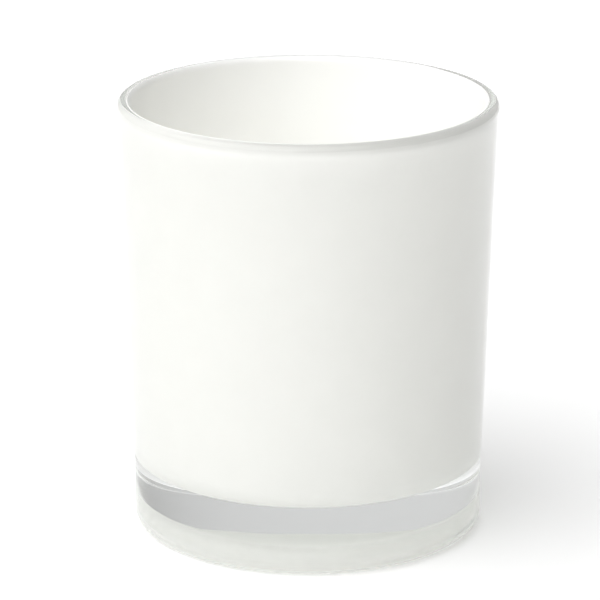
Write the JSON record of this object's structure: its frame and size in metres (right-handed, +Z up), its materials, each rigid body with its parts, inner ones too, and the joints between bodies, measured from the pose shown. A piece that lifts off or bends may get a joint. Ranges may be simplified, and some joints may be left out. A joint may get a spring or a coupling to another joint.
{
  "type": "candle jar",
  "caption": "Empty glass candle jar: a tapered clear tumbler with a rounded rim and a thick clear base, coated white inside, ready to take wax and a wick.",
  "frame": {"origin": "centre of the foot, on the surface that the jar stands on", "axes": "+Z up along the jar's axis; the jar is turned, so +X and +Y are any two square directions across it"},
  "size_m": [0.08, 0.08, 0.093],
  "materials": {
    "clear_glass": "fire-polished, clear, with a faint green-grey tint where it is thick",
    "white_lacquer": "opaque white lacquer, smooth and glossy"
  },
  "bodies": {
    "root": {"glass_jar": "clear_glass", "white_lining": "white_lacquer"}
  },
  "joints": []
}
